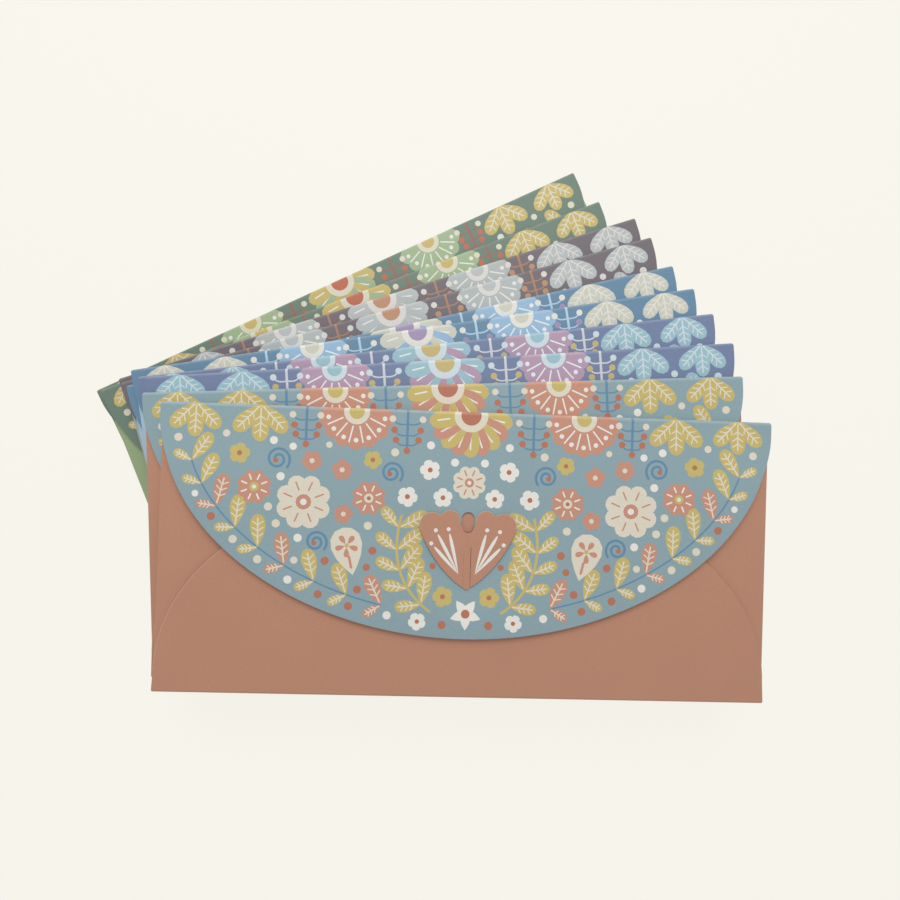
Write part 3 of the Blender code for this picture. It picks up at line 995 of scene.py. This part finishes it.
def cut(outline, holes=(), lines=(), prints=()):
    """A flat sheet as (points, triangles, ink name of each triangle)."""
    points = []
    faces = []
    edges = []
    for loop in (outline, *holes, *(shape for _, shape in prints)):
        faces.append(list(range(len(points), len(points) + len(loop))))
        points += [Vector(point) for point in counterclockwise(list(loop))]
    for start, end in lines:
        edges.append((len(points), len(points) + 1))
        points += [Vector(start), Vector(end)]
    places, _, found, _, _, owners = delaunay_2d_cdt(points, edges, faces, 0, MERGE)
    first_print = 1 + len(holes)
    triangles = []
    inks = []
    for triangle, owner in zip(found, owners):
        if 0 in owner and not any(0 < index < first_print for index in owner):
            top = max(owner)
            triangles.append(triangle)
            inks.append(prints[top - first_print][0] if top >= first_print else "ground")
    used = sorted({corner for triangle in triangles for corner in triangle})
    renumbered = {corner: number for number, corner in enumerate(used)}
    triangles = [[renumbered[corner] for corner in triangle] for triangle in triangles]
    return np.array([places[corner] for corner in used]), triangles, inks


def free_edges(triangles):
    """Directed edges that only one triangle has."""
    directed = {(a, b) for triangle in triangles for a, b in loop_sides(triangle)}
    return sorted(edge for edge in directed if edge[::-1] not in directed)


def slopes(surface, points):
    """Unit normals of the printed side, from the surface's slopes."""
    x, y = points.T
    across = surface(x + SLOPE_STEP, y) - surface(x - SLOPE_STEP, y)
    along = surface(x, y + SLOPE_STEP) - surface(x, y - SLOPE_STEP)
    normals = -np.cross(across, along)
    return normals / np.linalg.norm(normals, axis=1)[:, None]


def add_object(name, data):
    made = bpy.data.objects.new(name, data)
    bpy.context.scene.collection.objects.link(made)
    return made


def card_piece(name, sheet, surface, materials, matrix, facing=1):
    """A closed card skin: printed side, plain side and cut edges.

    materials maps each ink to its material and "core" to the plain one. facing is -1 where the
    surface's printed side is on its other side.
    """
    points, triangles, inks = sheet
    middle = surface(*points.T)
    normals = slopes(surface, points) * facing
    count = len(points)
    places = np.concatenate([middle + normals * CARD / 2, middle - normals * CARD / 2])
    outer = [triangle[::-1] for triangle in triangles] if facing > 0 else [list(t) for t in triangles]
    inner = [[corner + count for corner in triangle[::-1]] for triangle in outer]
    rims = [(b, a, a + count, b + count) for a, b in free_edges(outer)]
    sides = outer + inner
    mesh = bpy.data.meshes.new(name)
    mesh.from_pydata(places.tolist(), [], sides + rims)
    slots = list(dict.fromkeys([*inks, "core"]))
    for slot in slots:
        mesh.materials.append(materials[slot])
    core = slots.index("core")
    indices = [slots.index(ink) for ink in inks] + [core] * (len(inner) + len(rims))
    mesh.polygons.foreach_set("material_index", indices)
    crease = mesh.attributes.new("crease", "FLOAT", "POINT")
    crease.data.foreach_set("value", np.tile(1 - np.abs(normals[:, 2]), 2))
    mesh.shade_smooth()
    both = np.concatenate([normals, -normals])
    corner_normals = []
    for number, polygon in enumerate(mesh.polygons):
        rim = number >= len(sides)
        corner_normals += [polygon.normal if rim else both[corner] for corner in polygon.vertices]
    mesh.normals_split_custom_set([tuple(normal) for normal in corner_normals])
    mesh.transform(matrix)
    return add_object(name, mesh)


# Materials


def linear(channel):
    share = channel / CHANNEL_MOST
    if share <= SRGB_KNEE:
        return share / SRGB_SLOPE
    return ((share + SRGB_OFFSET) / (1 + SRGB_OFFSET)) ** SRGB_POWER


def linear_colour(colour, brightness=1.0):
    return (*(linear(channel) * brightness for channel in colour), 1)


def new_material(name):
    material = bpy.data.materials.new(name)
    material.use_nodes = True
    return material, material.node_tree


def feed(tree, node, inputs):
    """Give a node's inputs, by name or number, a value each or the socket that each comes from."""
    for key, value in inputs.items():
        if isinstance(value, bpy.types.NodeSocket):
            tree.links.new(value, node.inputs[key])
        else:
            node.inputs[key].default_value = value


def new_node(tree, kind, inputs):
    node = tree.nodes.new(kind)
    feed(tree, node, inputs)
    return node


def noise(tree, scale, detail, stretch=(1, 1, 1)):
    """Noise fixed to the object, stretched along its axes."""
    place = tree.nodes.new("ShaderNodeTexCoord").outputs["Object"]
    mapping = new_node(tree, "ShaderNodeMapping", {"Vector": place, "Scale": stretch})
    inputs = {"Vector": mapping.outputs["Vector"], "Scale": scale, "Detail": detail}
    return new_node(tree, "ShaderNodeTexNoise", inputs).outputs["Fac"]


def mapped(tree, value, low, high, new_low, new_high):
    inputs = {"Value": value, "From Min": low, "From Max": high, "To Min": new_low, "To Max": new_high}
    return new_node(tree, "ShaderNodeMapRange", inputs).outputs["Result"]


def mixed(tree, factor, first, second):
    """Colour between two, each a colour or a socket."""
    step = tree.nodes.new("ShaderNodeMix")
    step.data_type = "RGBA"
    colours = [number for number, item in enumerate(step.inputs) if item.type == "RGBA"]
    feed(tree, step, {"Factor": factor, **dict(zip(colours, (first, second)))})
    return next(item for item in step.outputs if item.type == "RGBA")


def maths(tree, operation, first, second):
    step = new_node(tree, "ShaderNodeMath", {0: first, 1: second})
    step.operation = operation
    return step.outputs["Value"]


def either(tree, factor, first, second):
    """The first shader where the factor is 0, the second where it is 1."""
    return new_node(tree, "ShaderNodeMixShader", {0: factor, 1: first, 2: second}).outputs["Shader"]


def card_material(name, colour, roughness=BODY_ROUGHNESS, wear=CREASE_WEAR):
    """Matt coated card: pressed fibres, faint clouding, and creases worn towards the pale core."""
    material, tree = new_material(name)
    fibres = noise(tree, FIBRE_SCALE, FIBRE_DETAIL, FIBRE_STRETCH)
    clouds = noise(tree, CLOUD_SCALE, CLOUD_DETAIL)
    fleck = mapped(tree, fibres, *FIBRE_RANGE, 0, 1)
    tones = [linear_colour(colour, 1 + change) for change in (-FIBRE_SHADE, FIBRE_SHADE)]
    shade = mixed(tree, fleck, *tones)
    cloud = mapped(tree, clouds, *CLOUD_RANGE, 0, CLOUD_MOST)
    clouded = mixed(tree, cloud, shade, linear_colour(colour, CLOUD_BRIGHTNESS))
    crease = tree.nodes.new("ShaderNodeAttribute")
    crease.attribute_name = "crease"
    wear_and_highlight = mapped(tree, noise(tree, RUB_SCALE, RUB_DETAIL), *RUB_RANGE, RUB_LEAST, 1)
    worn = maths(tree, "MULTIPLY", maths(tree, "MULTIPLY", crease.outputs["Fac"], wear_and_highlight), wear)
    spread = (roughness - ROUGHNESS_SPREAD, roughness + ROUGHNESS_SPREAD)
    relief = {"Strength": BUMP_STRENGTH, "Distance": BUMP_DEPTH, "Height": fibres}
    feed(tree, tree.nodes["Principled BSDF"], {
        "Base Color": mixed(tree, worn, clouded, linear_colour(CORE_COLOUR)),
        "Roughness": mapped(tree, fibres, 0, 1, *spread),
        "Normal": new_node(tree, "ShaderNodeBump", relief).outputs["Normal"],
    })
    return material


def glue_material():
    """Dried paper glue: slightly glossy, with small ripples."""
    material, tree = new_material("glue")
    ripples = noise(tree, RIPPLE_SCALE, RIPPLE_DETAIL)
    tones = [linear_colour(GLUE_COLOUR, brightness) for brightness in (RIPPLE_BRIGHTNESS, 1)]
    feed(tree, tree.nodes["Principled BSDF"], {
        "Base Color": mixed(tree, ripples, *tones),
        "Roughness": mapped(tree, ripples, 0, 1, *GLUE_ROUGHNESS),
    })
    return material


def flap_materials(colour):
    """Ink materials of one colourway, and its card's core."""
    made = {"core": CORE}
    for ink, tone in zip(INKS, PALETTES[colour]):
        made[ink] = card_material(f"{colour}_{ink}_ink", tone, roughness=FLAP_ROUGHNESS)
    return made


def body_materials(colour, white):
    """Card of one colourway's body, with a painted highlight for edges that catch the light, its core
    and the wings' white ink.
    """
    tone = BODY_COLOURS[colour]
    # painted highlight: the body's colour moved part way towards the pale core
    wear_and_highlight = [own + (core - own) * EDGE_HIGHLIGHT_SHARE for own, core in zip(tone, CORE_COLOUR)]
    ground = card_material(colour + "_body_card_skin", tone)
    return {
        "core": CORE, "ground": ground, "white": white,
        "wear_and_highlight": card_material(colour + "_rubbed_edge", wear_and_highlight),
    }


# Pieces


def finish_piece(piece, body, slot, *nodes):
    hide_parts(*nodes)
    if body:
        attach(piece, body)


def belly_of(envelope):
    return FRONT_BELLY if envelope.name == TOP else REAR_BELLY


def add_body(envelope, sheet, materials):
    name = envelope.name
    rim = FRONT_RIM_LIFT if name == TOP else 0
    surface = partial(body_surface, belly=belly_of(envelope), rim=rim)
    piece = card_piece(name + "_body_skin", sheet, surface, materials, envelope.matrix)
    nodes = [f"{name}_{panel}" for panel in BODY_PANELS]
    finish_piece(piece, name, envelope.colour + "_body_card", *nodes)


def add_flap(envelope, sheet, materials):
    """The closing flap's skin; the top one stands in for both the flap and its fold, unattached, with
    its place baked into its mesh.
    """
    name = envelope.name
    front = name == TOP
    lift = FRONT_FLAP_LIFT if front else REAR_FLAP_LIFT
    surface = partial(flap_surface, lift=lift, belly=belly_of(envelope))
    piece = card_piece(name + "_flap_skin", sheet, surface, materials, envelope.matrix)
    if not front:
        finish_piece(piece, name, envelope.colour + "_flap_card", name + "_closing_flap")
        return
    finish_piece(piece, None, envelope.colour + "_flap_card", name + "_closing_flap", name + "_top_fold")
    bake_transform(piece)


def wing_marks(turn):
    """Slender rays on a clasp wing, with a dot beyond each."""
    shapes = []
    root = (turn * WING_RAY_ROOT[0], WING_RAY_ROOT[1])
    for lean, length in WING_RAYS:
        bearing = lean if turn > 0 else pi - lean
        shapes.append(("white", moved(drop_outline(length, WING_RAY_WIDTH), root, bearing)))
        dot = around(root, length + 2 * WING_DOT_RADIUS, bearing)
        shapes.append(("white", disc(dot, WING_DOT_RADIUS)))
    return shapes


def add_rear_clasp(envelope, materials):
    """A lower envelope's whole clasp."""
    outline = whole_clasp()
    sheet = cut(outline, lines=guides(outline))
    add_clasp_piece(envelope, envelope.name + "_clasp", sheet, REAR_WING_CURL, materials, envelope.name)


def add_clasp_piece(envelope, name, sheet, curl, materials, body, *nodes):
    surface = partial(wing_surface, curl=curl, belly=belly_of(envelope))
    piece = card_piece(name, sheet, surface, materials, envelope.matrix, facing=-1)
    replaced = nodes or (envelope.name + "_pocket_panel",)
    finish_piece(piece, body, envelope.colour + "_body_card", *replaced)


def add_front_clasp(envelope, materials):
    """The top envelope's clasp: a spine strip between two wings on their creases."""
    name = envelope.name
    add_clasp_piece(envelope, name + "_clasp_spine", cut(spine_outline()), 0, materials, name)
    for side, turn, gap in (("left", -1, LEFT_CREASE_GAP), ("right", 1, RIGHT_CREASE_GAP)):
        outline = wing_outline(gap)
        outline = outline if turn > 0 else flipped(outline)
        # painted highlight along the upper edges of the lobes, which face the lamp
        marks = [("wear_and_highlight", stroke(lobe_tops(turn), 2 * EDGE_HIGHLIGHT_HALF_WIDTH)), *wing_marks(turn)]
        sheet = cut(outline, lines=guides(outline), prints=marks)
        wing = f"clasp_wing_{side}"
        node = f"{name}_{wing}"
        add_clasp_piece(envelope, node + "_skin", sheet, FRONT_WING_CURL, materials, wing, node)


def add_riser(envelope, materials):
    """Two upright walls that carry the clasp through the flap's slot."""
    start = CLASP_TIP + SPINE_FOOT
    end = CLASP_TIP + SPINE_HEIGHT - RISER_WIDTH / 2
    points = []
    faces = []
    for turn in (-1, 1):
        x = HALF + turn * (RISER_WIDTH - CARD) / 2
        near, far = x - CARD / 2, x + CARD / 2
        foot = [(near, start), (far, start), (far, end), (near, end)]
        faces += [[len(points) + corner for corner in side] for side in BOX_SIDES]
        points += [(*place, level_height(level)) for level in (POCKET, WING) for place in foot]
    mesh = bpy.data.meshes.new(envelope.name + "_clasp_riser")
    mesh.from_pydata(points, [], faces)
    mesh.materials.append(materials["ground"])
    mesh.transform(envelope.matrix)
    piece = add_object(mesh.name, mesh)
    finish_piece(piece, envelope.name, envelope.colour + "_body_card", envelope.name + "_pocket_panel")


def add_envelopes():
    outline = flap_outline()
    radius = fold_radius(FLAP)
    rows = [-radius * turn for turn in fold_turns()]
    flap_sheet = cut(outline, [slot_outline()], guides(outline, folds_along=rows), whole_print())
    outline = body_outline()
    side_rows = [fold_line(SIDE) - fold_radius(SIDE) * turn for turn in fold_turns()]
    side_rows += [WIDTH - row for row in side_rows]
    bottom_rows = [fold_line(POCKET) - fold_radius(POCKET) * turn for turn in fold_turns()]
    # painted highlight along the left half of the pocket's arch, where its cut edge catches the light
    wear_and_highlight = [("wear_and_highlight", stroke(pocket_arch()[EDGE_STEPS // 2:], 2 * EDGE_HIGHLIGHT_HALF_WIDTH))]
    body_sheet = cut(outline, [clasp_window()], guides(outline, side_rows, bottom_rows), wear_and_highlight)
    flap_sets = {colour: flap_materials(colour) for colour in PALETTES}
    body_sets = {colour: body_materials(colour, flap_sets[colour]["white"]) for colour in PALETTES}
    for envelope in ENVELOPES:
        inks = flap_sets[envelope.colour]
        body = body_sets[envelope.colour]
        add_body(envelope, body_sheet, body)
        add_flap(envelope, flap_sheet, inks)
        add_riser(envelope, body)
        if envelope.name == TOP:
            add_front_clasp(envelope, body)
        else:
            add_rear_clasp(envelope, body)


def dress_glue():
    glue = glue_material()
    for side in ("left", "right"):
        seam = frame["nodes"][f"{TOP}_glue_{side}"]
        seam.data.materials.clear()
        seam.data.materials.append(glue)


# Stage


def seen_directly(tree):
    """1 for rays that show the backdrop itself, by eye, in gloss or through glass."""
    path = tree.nodes.new("ShaderNodeLightPath")
    total = path.outputs["Is Camera Ray"]
    for name in ("Is Glossy Ray", "Is Transmission Ray"):
        total = maths(tree, "MAXIMUM", total, path.outputs[name])
    return total


def add_floor():
    """Plain floor that shows little of the shadow, and that is clear when seen from below."""
    turns = [(-1, -1), (1, -1), (1, 1), (-1, 1)]
    corners = [(x * FLOOR_HALF, y * FLOOR_HALF, -FLOOR_DROP) for x, y in turns]
    mesh = bpy.data.meshes.new("floor")
    mesh.from_pydata(corners, [], [range(len(corners))])
    floor = add_object("floor", mesh)
    material, tree = new_material("floor")
    tone = linear_colour(BACKDROP_COLOUR)
    shader = tree.nodes["Principled BSDF"]
    feed(tree, shader, {"Base Color": tone, "Roughness": FLOOR_ROUGHNESS, "Specular IOR Level": 0})
    glow = new_node(tree, "ShaderNodeEmission", {"Color": tone, "Strength": GLOW_STRENGTH})
    shown = maths(tree, "MULTIPLY", seen_directly(tree), 1 - SHADOW_SHARE)
    above = either(tree, shown, shader.outputs["BSDF"], glow.outputs["Emission"])
    under = tree.nodes.new("ShaderNodeNewGeometry").outputs["Backfacing"]
    clear = tree.nodes.new("ShaderNodeBsdfTransparent").outputs["BSDF"]
    feed(tree, tree.nodes["Material Output"], {"Surface": either(tree, under, above, clear)})
    mesh.materials.append(material)


def set_world():
    world = bpy.data.worlds.new("studio")
    world.use_nodes = True
    tree = world.node_tree
    sky = tree.nodes["Background"]
    feed(tree, sky, {"Color": (1, 1, 1, 1), "Strength": SKY_STRENGTH})
    backdrop = new_node(tree, "ShaderNodeBackground", {"Color": linear_colour(BACKDROP_COLOUR)})
    shown = either(tree, seen_directly(tree), sky.outputs["Background"], backdrop.outputs["Background"])
    feed(tree, tree.nodes["World Output"], {"Surface": shown})
    bpy.context.scene.world = world


def add_lamp():
    light = bpy.data.lights.new("lamp", "AREA")
    light.shape = "DISK"
    light.size = LAMP_SIZE
    light.energy = LAMP_POWER
    lamp = add_object("lamp", light)
    lamp.location = LAMP_PLACE
    lamp.rotation_euler = Vector(LAMP_PLACE).to_track_quat("Z", "Y").to_euler()


def add_camera():
    place = ENVELOPES[-1].matrix @ Vector(CAMERA_PLACE)
    back = (place - ENVELOPES[-1].matrix @ Vector(CAMERA_TARGET)).normalized()
    level = Vector((cos(CAMERA_ROLL), sin(CAMERA_ROLL), 0))
    right = (level - back * level.dot(back)).normalized()
    up = back.cross(right)
    data = bpy.data.cameras.new("camera")
    data.sensor_width = SENSOR
    data.lens = CAMERA_LENS
    data.clip_start = CLIP_START
    camera = add_object("camera", data)
    camera.matrix_world = Matrix.Translation(place) @ Matrix((right, up, back)).transposed().to_4x4()
    bpy.context.scene.camera = camera


CORE = card_material("card_core", CORE_COLOUR, roughness=CORE_ROUGHNESS, wear=0)
add_envelopes()
dress_glue()
add_floor()
set_world()
add_lamp()
add_camera()
bpy.context.scene.view_settings.view_transform = "Standard"
